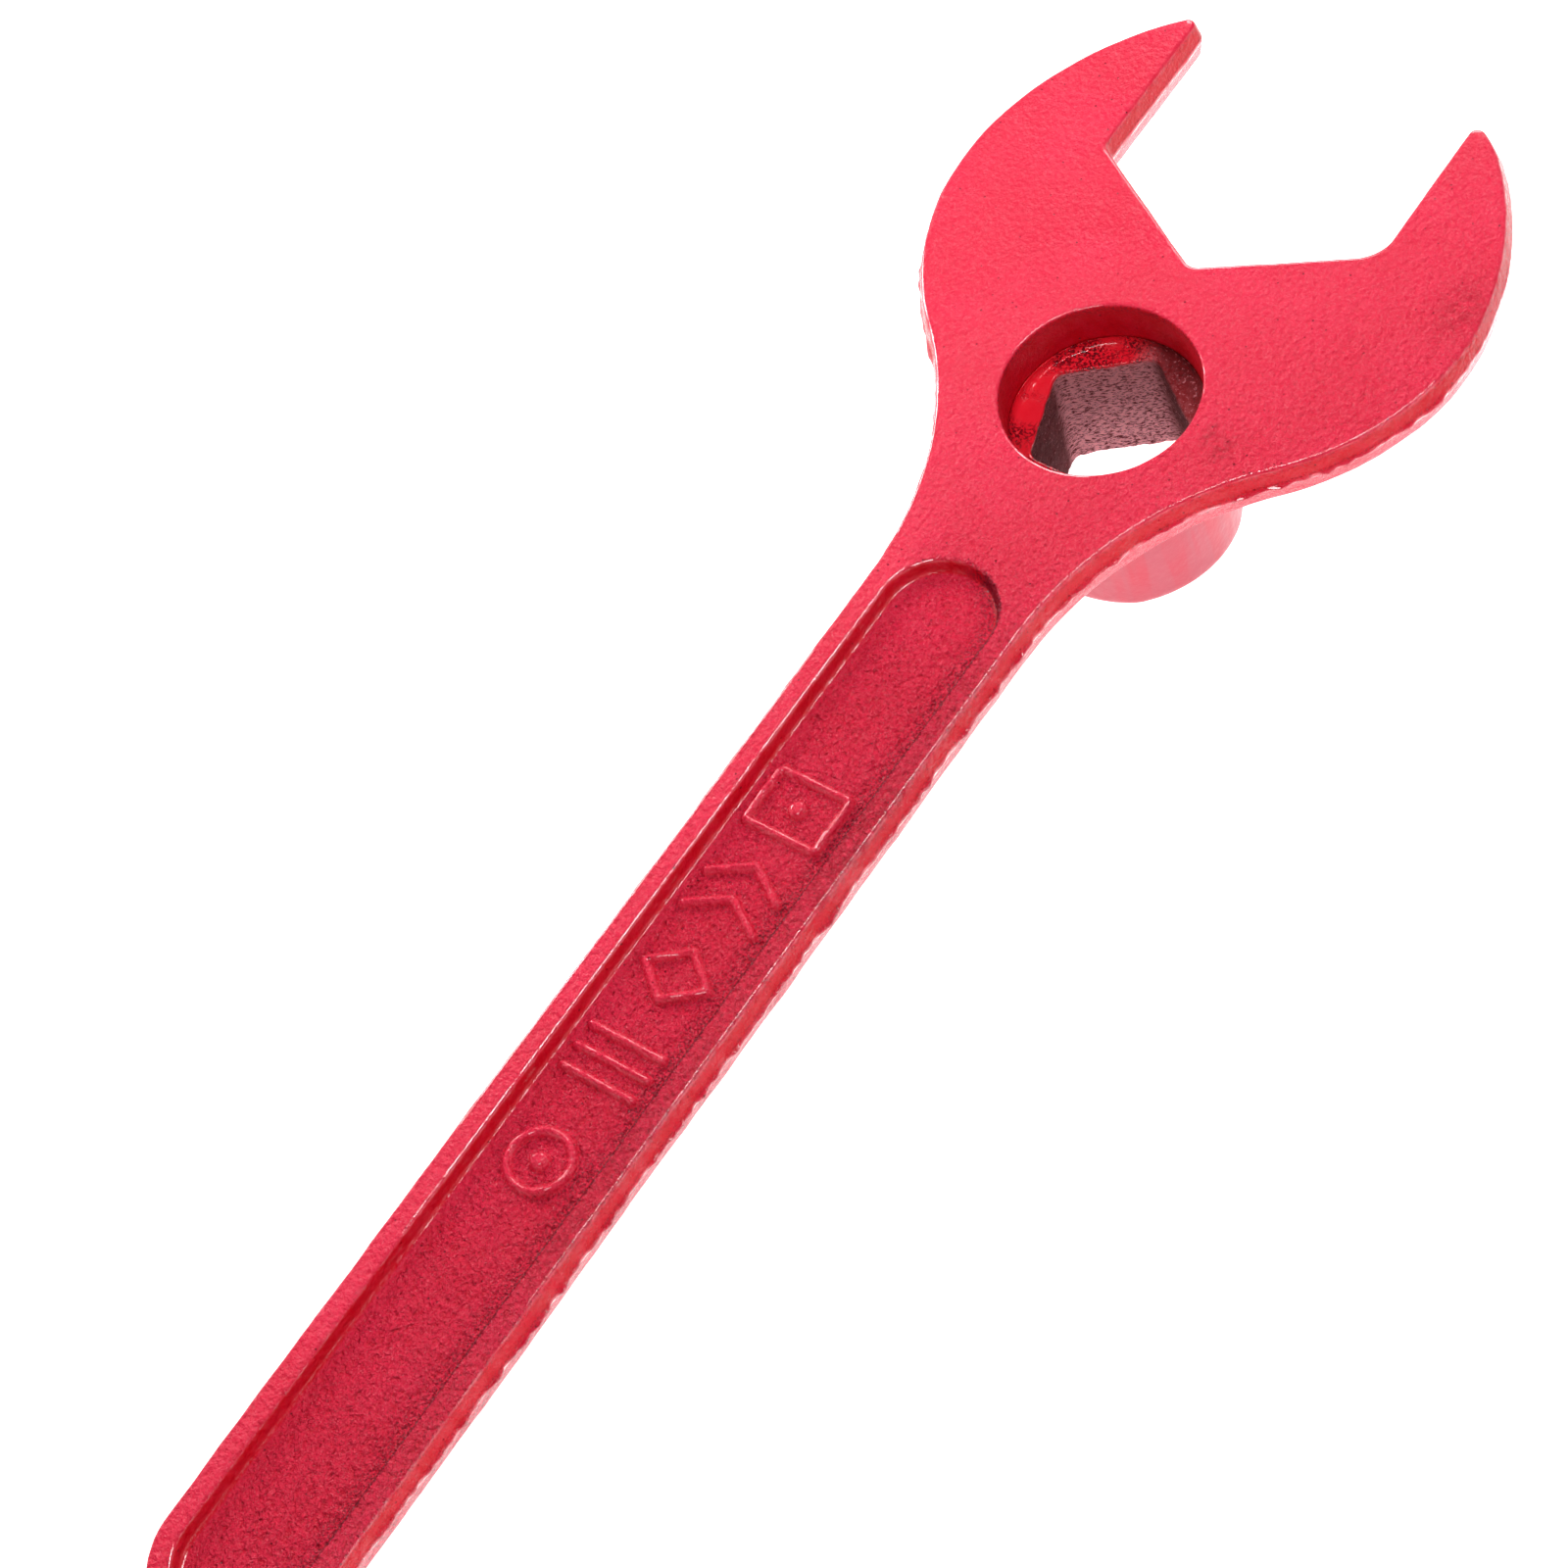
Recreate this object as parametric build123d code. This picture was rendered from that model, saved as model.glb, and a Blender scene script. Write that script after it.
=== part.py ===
from build123d import *
import os
from math import acos, atan, cos, degrees, radians, tan

# Fire hydrant wrench: a cast plate with an open hexagon jaw, a long handle,
# and a pentagon socket standing on the back of the head.
# Frame: origin at the centre of the round eye on the front face, +Z out of the
# front face, +X towards the jaw, +Y across. Millimetres.

# Plate
PLATE_T = 10.0
PART_PROUD = 1.0
EDGE_R = 0.8

# Head outline, from the handle to the jaw tip
NECK_X = -58.6
NECK_R = 79.4
NECK_SWEEP = 46.6
CHEEK_R = 56.4
CHEEK_SWEEP = 58.2
BROW_R = 69.0
TIP_R = 1.6

# Jaw: two sides of a hexagon and the parallel flats beyond them
JAW_WIDTH = 67.8
JAW_VERTEX_X = 34.0
JAW_HALF_ANGLE = 60.0
JAW_VERTEX_R = 3.5
JAW_ROOT_R = 5.0

# Handle
HANDLE_WIDTH = 35.4
HANDLE_END_X = -310.0

# Pockets in the handle's two faces
POCKET_WIDTH = 25.6
POCKET_HEAD_X = -47.9
FRONT_POCKET_DEPTH = 3.2
BACK_POCKET_DEPTH = 2.4
POCKET_WALL_INSET = 0.9
POCKET_FLOOR_R = 0.6

# Eye and socket
EYE_R = 21.0
SLEEVE_R = 23.2
SLEEVE_END_Z = -44.5
SLEEVE_END_R = 2.2
SEAT_R = 20.4
SEAT_DEPTH = 1.8
PENTAGON_APOTHEM = 14.5
PENTAGON_CORNER_R = 3.0
PENTAGON_MOUTH_GROWTH = 1.7
MOUTH_R = 2.0
WELD_LEG = 4.0
WELD_BULGE = 2.4

# Raised marks on the front pocket's floor
MARK_XS = (-197.9, -173.8, -152.3, -131.5, -110.4)
MARK_LENGTH = 15.0
MARK_WIDTH = 19.0
MARK_STROKE = 2.0
MARK_HEIGHT = 0.8
BAR_PITCH = 5.0
LOZENGE_OPENING = 0.6
CHEVRON_DEPTH = 5.25
CHEVRON_XS = (-6.75, 1.5)
BOX_R = 1.5
BOX_INNER_R = 0.6

HANDLE_HALF = HANDLE_WIDTH / 2
JAW_HALF = JAW_WIDTH / 2
SLEEVE_TOP_Z = -PLATE_T
LEDGE_Z = SLEEVE_TOP_Z - SEAT_DEPTH
FLOOR_Z = -FRONT_POCKET_DEPTH


def brow_sweep(start, heading):
    """Sweep, in degrees, that takes the brow arc down to the jaw flat."""
    centre_y = start.Y - BROW_R * cos(radians(heading))
    end_heading = -degrees(acos((JAW_HALF - centre_y) / BROW_R))
    return heading - end_heading


def side_curve():
    """Half of the outline, on the +Y side, from the handle's end to the jaw's vertex."""
    edge = Line((HANDLE_END_X + HANDLE_HALF, HANDLE_HALF), (NECK_X, HANDLE_HALF))
    neck = JernArc(edge @ 1, edge % 1, NECK_R, NECK_SWEEP)
    cheek = JernArc(neck @ 1, neck % 1, CHEEK_R, -CHEEK_SWEEP)
    heading = NECK_SWEEP - CHEEK_SWEEP
    brow = JernArc(cheek @ 1, cheek % 1, BROW_R, -brow_sweep(cheek @ 1, heading))
    root_x = JAW_VERTEX_X + JAW_HALF / tan(radians(JAW_HALF_ANGLE))
    flat = Line(brow @ 1, (root_x, JAW_HALF))
    vee = Line((root_x, JAW_HALF), (JAW_VERTEX_X, 0))
    return edge + neck + cheek + brow + flat + vee


def plate_outline():
    """The face outline: both sides, the handle's round end, and softened corners."""
    side = side_curve()
    end_x = HANDLE_END_X + HANDLE_HALF
    end = ThreePointArc((end_x, HANDLE_HALF), (HANDLE_END_X, 0), (end_x, -HANDLE_HALF))
    outline = make_face(side + mirror(side, Plane.XZ) + end)
    vertex = outline.vertices().sort_by_distance((JAW_VERTEX_X, 0))[0]
    outline = fillet(vertex, JAW_VERTEX_R)
    roots = outline.vertices().filter_by(lambda v: is_jaw_root(v))
    outline = fillet(roots, JAW_ROOT_R)
    tips = outline.vertices().sort_by(Axis.X)[-2:]
    return fillet(tips, TIP_R)


def is_jaw_root(vertex):
    """True at the two corners where the vee meets the jaw's flats."""
    root_x = JAW_VERTEX_X + JAW_HALF / tan(radians(JAW_HALF_ANGLE))
    return abs(vertex.X - root_x) < 0.1 and abs(abs(vertex.Y) - JAW_HALF) < 0.1


def pocket(depth, face_z, direction):
    """A round-ended pocket with drafted walls, cut into one face of the handle."""
    end_x = HANDLE_END_X + HANDLE_HALF - POCKET_WIDTH / 2
    length = POCKET_HEAD_X - end_x
    slot = SlotOverall(length, POCKET_WIDTH)
    slot = Pos((POCKET_HEAD_X + end_x) / 2, 0, face_z) * slot
    draft = degrees(atan(POCKET_WALL_INSET / depth))
    body = extrude(slot, depth, dir=(0, 0, direction), taper=draft)
    floor = body.faces().sort_by(Axis.Z)[0 if direction < 0 else -1]
    return fillet(floor.edges(), POCKET_FLOOR_R)


def wrench_body():
    """The cast plate: head, jaw and handle, thickest at its parting plane."""
    draft = degrees(atan(PART_PROUD / (PLATE_T / 2)))
    outline = plate_outline()
    front = extrude(outline, PLATE_T / 2, dir=(0, 0, -1), taper=-draft)
    back = mirror(front, Plane.XY.offset(-PLATE_T / 2))
    plate = front + back
    rims = plate.edges().filter_by_position(Axis.Z, -0.01, 0.01)
    plate = fillet(rims, EDGE_R)
    rims = plate.edges().filter_by_position(Axis.Z, -PLATE_T - 0.01, -PLATE_T + 0.01)
    plate = fillet(rims, EDGE_R)
    plate -= Pos(0, 0, -PLATE_T / 2) * Cylinder(EYE_R, PLATE_T)
    plate -= pocket(FRONT_POCKET_DEPTH, 0, -1)
    plate -= pocket(BACK_POCKET_DEPTH, -PLATE_T, 1)
    return plate


def pentagon(apothem, z):
    """The socket's section at one height, with its vertex towards the jaw."""
    section = RegularPolygon(apothem, 5, major_radius=False)
    section = fillet(section.vertices(), PENTAGON_CORNER_R)
    return Pos(0, 0, z) * section


def socket_sleeve():
    """The round sleeve with the pentagon socket, wider at its mouth."""
    length = SLEEVE_TOP_Z - SLEEVE_END_Z
    sleeve = Pos(0, 0, SLEEVE_TOP_Z - length / 2) * Cylinder(SLEEVE_R, length)
    sleeve = fillet(sleeve.edges().sort_by(Axis.Z)[0], SLEEVE_END_R)
    seat = Pos(0, 0, SLEEVE_TOP_Z - SEAT_DEPTH / 2) * Cylinder(SEAT_R, SEAT_DEPTH)
    mouth = PENTAGON_APOTHEM + PENTAGON_MOUTH_GROWTH
    bore = loft([pentagon(PENTAGON_APOTHEM, LEDGE_Z), pentagon(mouth, SLEEVE_END_Z)])
    sleeve = sleeve - seat - bore
    lip = sleeve.faces().sort_by(Axis.Z)[0].inner_wires()[0].edges()
    return fillet(lip, MOUTH_R)


def socket_weld():
    """The bead that runs round the sleeve where it stands on the plate's back."""
    inner = SLEEVE_R
    outer = SLEEVE_R + WELD_LEG
    low = SLEEVE_TOP_Z - WELD_LEG
    bulge = (inner + WELD_BULGE, SLEEVE_TOP_Z - WELD_BULGE)
    section = Line((inner, low), (inner, SLEEVE_TOP_Z))
    section += Line((inner, SLEEVE_TOP_Z), (outer, SLEEVE_TOP_Z))
    section += ThreePointArc((outer, SLEEVE_TOP_Z), bulge, (inner, low))
    return revolve(Plane.XZ * make_face(section), Axis.Z)


def bars_figure():
    """Three parallel bars across the pocket."""
    bars = Sketch()
    for step in (-1, 0, 1):
        bars += Pos(step * BAR_PITCH, 0) * SlotOverall(MARK_WIDTH, MARK_STROKE, 90)
    return bars


def chevron_figure():
    """Two chevrons, one behind the other, pointing towards the head."""
    half = MARK_WIDTH / 2 - MARK_STROKE / 2
    chevrons = Sketch()
    for x in CHEVRON_XS:
        spine = Polyline((x, -half), (x + CHEVRON_DEPTH, 0), (x, half))
        chevrons += make_face(offset(spine, MARK_STROKE / 2))
    return chevrons


def mark_faces():
    """Five plain geometric figures, in order from the handle towards the head."""
    across = MARK_WIDTH / 2
    along = MARK_LENGTH / 2
    ring = Circle(along) - Circle(along - MARK_STROKE) + Circle(MARK_STROKE)
    lozenge = Polygon((-along, 0), (0, -across), (along, 0), (0, across))
    lozenge -= scale(lozenge, LOZENGE_OPENING)
    box = RectangleRounded(MARK_LENGTH, MARK_WIDTH, BOX_R)
    opening = (MARK_LENGTH - 2 * MARK_STROKE, MARK_WIDTH - 2 * MARK_STROKE)
    box -= RectangleRounded(*opening, BOX_INNER_R)
    box += Circle(MARK_STROKE)
    return ring, bars_figure(), lozenge, chevron_figure(), box


def raised_marks():
    """The figures, standing on the floor of the front pocket."""
    solids = []
    for x, face in zip(MARK_XS, mark_faces()):
        figure = extrude(Pos(x, 0, FLOOR_Z) * face, MARK_HEIGHT)
        solids.extend(figure.solids())
    return Compound(children=solids)


NODES = {
    "wrench_body": wrench_body,
    "socket_sleeve": socket_sleeve,
    "socket_weld": socket_weld,
    "raised_marks": raised_marks,
}

os.makedirs("parts", exist_ok=True)
for name, make in NODES.items():
    export_step(make(), f"parts/{name}.step")
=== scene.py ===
"""The looks of the fire hydrant wrench: a sand casting under thick red enamel."""

from math import atan2, ceil, cos, degrees, hypot, pi, radians, sin, sqrt, tan

import bmesh
import bpy
import numpy as np
from mathutils import Matrix, Vector, kdtree, noise
from mathutils.geometry import delaunay_2d_cdt


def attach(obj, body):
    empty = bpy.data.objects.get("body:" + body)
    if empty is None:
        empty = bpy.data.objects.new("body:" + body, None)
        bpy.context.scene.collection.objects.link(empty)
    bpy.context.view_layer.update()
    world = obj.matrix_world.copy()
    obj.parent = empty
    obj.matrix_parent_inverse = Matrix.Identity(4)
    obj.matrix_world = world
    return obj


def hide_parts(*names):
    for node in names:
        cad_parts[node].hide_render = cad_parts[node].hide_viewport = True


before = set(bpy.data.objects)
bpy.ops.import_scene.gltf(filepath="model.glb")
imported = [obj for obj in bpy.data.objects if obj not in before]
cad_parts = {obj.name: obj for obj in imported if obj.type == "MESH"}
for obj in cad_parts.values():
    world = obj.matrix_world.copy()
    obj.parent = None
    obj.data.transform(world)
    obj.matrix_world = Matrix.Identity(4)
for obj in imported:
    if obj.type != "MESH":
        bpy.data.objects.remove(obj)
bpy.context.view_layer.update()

# The CAD's dimensions again, in metres
PLATE_T = 0.0100
PART_PROUD = 0.0010
NECK_X = -0.0586
NECK_R = 0.0794
NECK_SWEEP = 46.6
CHEEK_R = 0.0564
CHEEK_SWEEP = 58.2
BROW_R = 0.0690
TIP_R = 0.0016
JAW_HALF = 0.0339
JAW_HALF_ANGLE = 60
JAW_VERTEX_X = 0.0340
HANDLE_HALF = 0.0177
HANDLE_END_X = -0.3100
POCKET_R = 0.0128
POCKET_HEAD_X = -0.0479
POCKET_END_X = HANDLE_END_X + HANDLE_HALF - POCKET_R
FRONT_POCKET_DEPTH = 0.0032
BACK_POCKET_DEPTH = 0.0024
EYE_R = 0.0210
SLEEVE_R = 0.0232
SLEEVE_END_Z = -0.0445
SEAT_R = 0.0204
LEDGE_Z = -0.0118
PENTAGON_APOTHEM = 0.0145
PENTAGON_CORNER_R = 0.0030
PENTAGON_MOUTH_APOTHEM = 0.0162
WELD_LEG = 0.0040
MARK_XS = (-0.1979, -0.1738, -0.1523, -0.1315, -0.1104)
MARK_HALF_LENGTH = 0.0075
MARK_HALF_WIDTH = 0.0095
MARK_HALF_STROKE = 0.0010
MARK_HEIGHT = 0.0008
BAR_PITCH = 0.0050
LOZENGE_SPINE = 0.8
CHEVRON_DEPTH = MARK_HALF_LENGTH * 0.7
CHEVRON_XS = (-MARK_HALF_LENGTH * 0.9, MARK_HALF_LENGTH * 0.2)

# What the casting and its paint add to those shapes
JAW_VERTEX_R = 0.0033
SHARP_ROOT_R = 0.0024
SOFT_ROOT_R = 0.0090
FULL_JAW = 0.0010
EDGE_CUT = 0.0008
EDGE_MARGIN = 0.0006
POCKET_CUT = 0.0008
WALL_INSET = 0.0009
EYE_TAPER = 0.0004
FLASH_HALF = 0.0007
FLASH_PROUD = 0.0008
FLASH_MEAN = 0.45
FLASH_MOST = 1.6
LEFT_BY_FETTLING = 0.15
HANDLE_CROWN = 0.0004
HEAD_CROWN = 0.0007
HEAD_HALF = 0.0600
BEAD_BULGE = 0.72
BEAD_SINK = 0.0004
BEAD_LAP = 0.0003
MARK_MARGIN = 0.0022
MARK_CREST = 1.75
MARK_SLOPE = 0.00090
MARK_SLOPE_POWER = 2.4
MARK_FOOT_DROP = 0.00012
MARK_FOOT_CUT = 0.00011
MARK_SINK = 0.0005
SPRAY_AND_LIGHT_ANGLE = 40
SPRAY_AND_LIGHT_HALF_ANGLE = 40
LEAST_SPRAY = 0.10

# Layers of noise in the cast surfaces: height, spacing and seed of each
CAST_WAVES = ((0.00022, 0.0320, 0), (0.00009, 0.0110, 3), (0.00004, 0.0040, 5))
EDGE_LUMPS = ((0.00024, 0.0080, 7), (0.00018, 0.0040, 9))
FLASH_RAGS = ((1.1, 0.0060, 11), (0.9, 0.0026, 13))
SLEEVE_WAVES = ((0.00010, 0.0120, 0),)
BORE_PEBBLES = ((0.00035, 0.0030, 21), (0.00022, 0.0014, 23))
BEAD_WAVES = ((0.00025, 0.0060, 31), (0.00010, 0.0025, 33))
MARK_WANDER = ((0.00022, 0.0030, 41),)
CREST_WAVES = ((0.45, 0.0050, 43),)
BROKEN_SHINE = ((1.0, 0.0022, 51),)

# Spacing of the mesh, and the most degrees that one step of a curve may turn
OUTLINE_STEP = 0.0010
SECTION_STEP = 0.0008
FINE_STEP = 0.0006
SLEEVE_STEP = 0.0007
FACE_STEP = 0.0011
FLOOR_STEP = 0.0009
MARK_STEP = 0.00035
MAX_TURN = 9
SLEEVE_COUNT = 264
LATTICE_CLEARANCE = 0.65


# ---------------------------------------------------------------- curves

def line(length):
    """A straight move: its length and its turn."""
    return length, 0.0


def arc(radius, turn):
    """A round move, turning left by so many degrees, or right where negative."""
    return radius * radians(abs(turn)), radians(turn)


def trace(start, heading, moves, step=OUTLINE_STEP):
    """Points along a chain of moves, with the unit normals on the left of the path."""
    points = []
    normals = []
    x, y = start
    angle = radians(heading)
    for length, turn in moves:
        count = max(ceil(length / step), ceil(degrees(abs(turn)) / MAX_TURN), 1)
        for i in range(count + 1):
            part = i / count
            now = angle + turn * part
            if turn:
                radius = length / turn
                ahead = radius * (sin(now) - sin(angle))
                aside = -radius * (cos(now) - cos(angle))
            else:
                ahead = length * part * cos(angle)
                aside = length * part * sin(angle)
            place = (x + ahead, y + aside)
            if i < count:
                points.append(place)
                normals.append((-sin(now), cos(now)))
        x, y = place
        angle += turn
    return np.array(points), np.array(normals)


def side_moves(root_r):
    """Half of the outline, from the handle's end round the +Y side to the jaw's vertex."""
    heading = NECK_SWEEP - CHEEK_SWEEP
    neck_y = HANDLE_HALF + NECK_R * (1 - cos(radians(NECK_SWEEP)))
    neck_x = NECK_X + NECK_R * sin(radians(NECK_SWEEP))
    cheek_cx = neck_x + CHEEK_R * sin(radians(NECK_SWEEP))
    cheek_cy = neck_y - CHEEK_R * cos(radians(NECK_SWEEP))
    brow_cx = cheek_cx - (CHEEK_R - BROW_R) * sin(radians(heading))
    brow_cy = cheek_cy + (CHEEK_R - BROW_R) * cos(radians(heading))
    rise = JAW_HALF + TIP_R - brow_cy
    tip_x = brow_cx + sqrt((BROW_R - TIP_R) ** 2 - rise ** 2)
    tip_angle = degrees(atan2(rise, tip_x - brow_cx))
    root_turn = JAW_HALF_ANGLE
    vertex_turn = 90 - JAW_HALF_ANGLE
    root_x = JAW_VERTEX_X + JAW_HALF / tan(radians(JAW_HALF_ANGLE))
    root_cut = root_r * tan(radians(root_turn / 2))
    vertex_cut = JAW_VERTEX_R * tan(radians(vertex_turn))
    return [
        arc(HANDLE_HALF, -90),
        line(NECK_X - HANDLE_END_X - HANDLE_HALF),
        arc(NECK_R, NECK_SWEEP),
        arc(CHEEK_R, -CHEEK_SWEEP),
        arc(BROW_R, tip_angle - 90 - heading),
        arc(TIP_R, -(tip_angle + 90)),
        line(tip_x - root_x - root_cut),
        arc(root_r, root_turn),
        line(JAW_HALF / sin(radians(JAW_HALF_ANGLE)) - root_cut - vertex_cut),
        arc(JAW_VERTEX_R, vertex_turn),
    ]


def smooth(value, low, high):
    """0 below low, 1 above high, and a smooth rise between."""
    part = np.clip((value - low) / (high - low), 0, 1)
    return part * part * (3 - 2 * part)


def wrench_outline():
    """The closed outline: a sharp-rooted +Y jaw and a fuller, softer -Y one."""
    start = (HANDLE_END_X, 0)
    upper, upper_out = trace(start, 90, side_moves(SHARP_ROOT_R))
    lower, lower_out = trace(start, 90, side_moves(SOFT_ROOT_R))
    full = smooth(lower[:, 0], 0.0, 0.05) * smooth(lower[:, 1], JAW_HALF, JAW_HALF + 0.008)
    lower = (lower + lower_out * (FULL_JAW * full)[:, None])[1:] * (1, -1)
    lower_out = lower_out[1:] * (1, -1)
    end_x = JAW_VERTEX_X + JAW_VERTEX_R * (1 / cos(radians(90 - JAW_HALF_ANGLE)) - 1)
    points = np.concatenate([upper, [(end_x, 0)], lower[::-1]])
    return points, np.concatenate([upper_out, [(1, 0)], lower_out[::-1]])


def pocket_outline():
    """The closed outline of a pocket, with its normals outwards."""
    length = POCKET_HEAD_X - POCKET_END_X - 2 * POCKET_R
    half_turn = arc(POCKET_R, -180)
    start = (POCKET_END_X + POCKET_R, POCKET_R)
    return trace(start, 0, [line(length), half_turn, line(length), half_turn])


def circle_outline(radius):
    """A round outline, with its normals outwards."""
    count = ceil(2 * pi * radius / SECTION_STEP)
    angles = np.linspace(0, 2 * pi, count, endpoint=False)
    out = np.column_stack([np.cos(angles), np.sin(angles)])
    return out * radius, out


def soften(corners, cuts, steps=5):
    """A section through its corners, each inner one rounded off over its cut."""
    corners = [np.array(c, float) for c in corners]
    points = [corners[0]]
    for before, corner, after, cut in zip(corners, corners[1:], corners[2:], cuts):
        back = (before - corner) * cut / hypot(*(before - corner)[:2])
        ahead = (after - corner) * cut / hypot(*(after - corner)[:2])
        for t in np.linspace(0, 1, steps + 1):
            points.append(corner + back * (1 - t) ** 2 + ahead * t ** 2)
    points.append(corners[-1])
    return np.array(points)


def divide(section, step):
    """The section with its long runs divided."""
    points = [section[0]]
    for a, b in zip(section, section[1:]):
        count = max(1, ceil(hypot(*(b - a)[:2]) / step))
        points.extend(a + (b - a) * (i + 1) / count for i in range(count))
    return np.array(points)


# ---------------------------------------------------------------- meshes

class Skin:
    """The vertices and faces of one closed shell, and a weight kept for each vertex."""

    def __init__(self):
        self.points = []
        self.weights = []
        self.faces = []

    def ring(self, points, weight=0.0):
        """Adds a ring of vertices and returns their numbers."""
        first = len(self.points)
        self.points.extend(tuple(p) for p in points)
        self.weights.extend([weight] * len(points))
        return list(range(first, len(self.points)))

    def band(self, ring, other):
        """Joins two closed rings of one count with quads."""
        for i in range(len(ring)):
            self.faces.append((ring[i - 1], ring[i], other[i], other[i - 1]))

    def sweep(self, outline, normals, section, weights=None):
        """Bands along a closed outline through a section of (outwards, z) points."""
        rings = []
        for i, (out, z) in enumerate(section):
            flat = outline + normals * out
            points = np.column_stack([flat, np.full(len(flat), z)])
            rings.append(self.ring(points, weights[i] if weights is not None else 0.0))
        for ring, other in zip(rings, rings[1:]):
            self.band(ring, other)
        return rings

    def fill(self, rings, z, step):
        """Fills the flat area between rings with even triangles."""
        border = [i for ring in rings for i in ring]
        flat = np.array([self.points[i][:2] for i in border])
        edges = []
        first = 0
        for ring in rings:
            count = len(ring)
            edges.extend((first + i, first + (i + 1) % count) for i in range(count))
            first += count
        inner = lattice(flat, edges, step)
        ids = border + self.ring([(x, y, z) for x, y in inner])
        spots = [Vector(p) for p in np.concatenate([flat, inner])]
        faces = delaunay_2d_cdt(spots, edges, [], 0, 1e-9)[2]
        centres = np.array([sum((spots[i] for i in f), Vector((0, 0))) / 3 for f in faces])
        keep = is_inside(centres, flat, edges)
        self.faces.extend(tuple(ids[i] for i in f) for f, k in zip(faces, keep) if k)

    def mesh(self, name):
        """The shell as a Blender mesh, with its normals outwards."""
        mesh = bpy.data.meshes.new(name)
        mesh.from_pydata(self.points, [], self.faces)
        work = bmesh.new()
        work.from_mesh(mesh)
        bmesh.ops.recalc_face_normals(work, faces=work.faces)
        work.to_mesh(mesh)
        work.free()
        mesh.shade_smooth()
        return mesh


def is_inside(points, border, edges):
    """For each point, whether it is within the border and outside its holes."""
    inside = np.zeros(len(points), bool)
    x, y = points[:, 0], points[:, 1]
    for a, b in edges:
        (ax, ay), (bx, by) = border[a], border[b]
        if ay == by:
            continue
        spans = (ay > y) != (by > y)
        inside ^= spans & (x < ax + (y - ay) * (bx - ax) / (by - ay))
    return inside


def lattice(border, edges, step):
    """A triangular lattice of points inside a border, clear of its edge."""
    low = border.min(axis=0)
    high = border.max(axis=0)
    rows = []
    row_step = step * sqrt(3) / 2
    for row in range(ceil((high[1] - low[1]) / row_step)):
        xs = np.arange(low[0] + step / 2 * (row % 2), high[0], step)
        rows.append(np.column_stack([xs, np.full(len(xs), low[1] + row * row_step)]))
    points = np.concatenate(rows)
    points = points[is_inside(points, border, edges)]
    tree = kdtree.KDTree(len(border))
    for i, (x, y) in enumerate(border):
        tree.insert((x, y, 0), i)
    tree.balance()
    clear = [tree.find((x, y, 0))[2] > step * LATTICE_CLEARANCE for x, y in points]
    return points[clear]


def cast_noise(points, size, seed):
    """Smooth noise from -1 to 1, with features of one size."""
    shift = Vector((seed, seed * 0.7, seed * 0.3))
    return np.array([noise.noise(Vector(p) / size + shift) for p in points])


def layered_noise(points, layers, mean=0):
    """Several layers of noise, each with its height, spacing and seed, about a mean."""
    waves = (height * cast_noise(points, size, seed) for height, size, seed in layers)
    return sum(waves, mean)


def read_points(mesh):
    """The mesh's vertices as an array."""
    flat = np.zeros(len(mesh.vertices) * 3, np.float32)
    mesh.vertices.foreach_get("co", flat)
    return flat.reshape(-1, 3).astype(float)


def write_points(mesh, points):
    """Moves the mesh's vertices to these places."""
    mesh.vertices.foreach_set("co", points.astype(np.float32).ravel())
    mesh.update()


def displace(mesh, heights):
    """Moves each vertex along its normal."""
    points = read_points(mesh)
    normals = np.array([v.vector for v in mesh.vertex_normals])
    write_points(mesh, points + normals * heights[:, None])


def paint(mesh, name, values):
    """Stores one number for each vertex, for the material to read."""
    layer = mesh.attributes.new(name, "FLOAT", "POINT")
    layer.data.foreach_set("value", np.asarray(values, np.float32))


def add_piece(name, mesh, material, slot, *nodes):
    """Makes the object, rides it on the root and hides the CAD nodes that it stands for."""
    piece = bpy.data.objects.new(name, mesh)
    bpy.context.scene.collection.objects.link(piece)
    mesh.materials.append(material)
    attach(piece, "root")
    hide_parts(*nodes)
    return piece


# ---------------------------------------------------------------- the wrench's body

def side_section():
    """The section of the outer edge, from the front face round to the back one."""
    inner = -EDGE_CUT - EDGE_MARGIN
    corners = [(inner, 0), (0, 0), (PART_PROUD, -PLATE_T / 2), (0, -PLATE_T), (inner, -PLATE_T)]
    section = soften(corners, (EDGE_CUT, FLASH_HALF, EDGE_CUT), 6)
    return divide(section, SECTION_STEP)


def pocket_section(depth):
    """The section of a pocket's wall, from the face down to the floor."""
    inner = -WALL_INSET - POCKET_CUT - EDGE_MARGIN
    corners = [(POCKET_CUT + EDGE_MARGIN, 0), (0, 0), (-WALL_INSET, -depth), (inner, -depth)]
    return divide(soften(corners, (POCKET_CUT, POCKET_CUT)), FINE_STEP)


def eye_section():
    """The section of the eye's wall, outwards from its rim, front to back."""
    corners = [(POCKET_CUT + EDGE_MARGIN, 0), (0, 0), (-EYE_TAPER, -PLATE_T)]
    return divide(soften(corners, (POCKET_CUT,)), SECTION_STEP)


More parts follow.
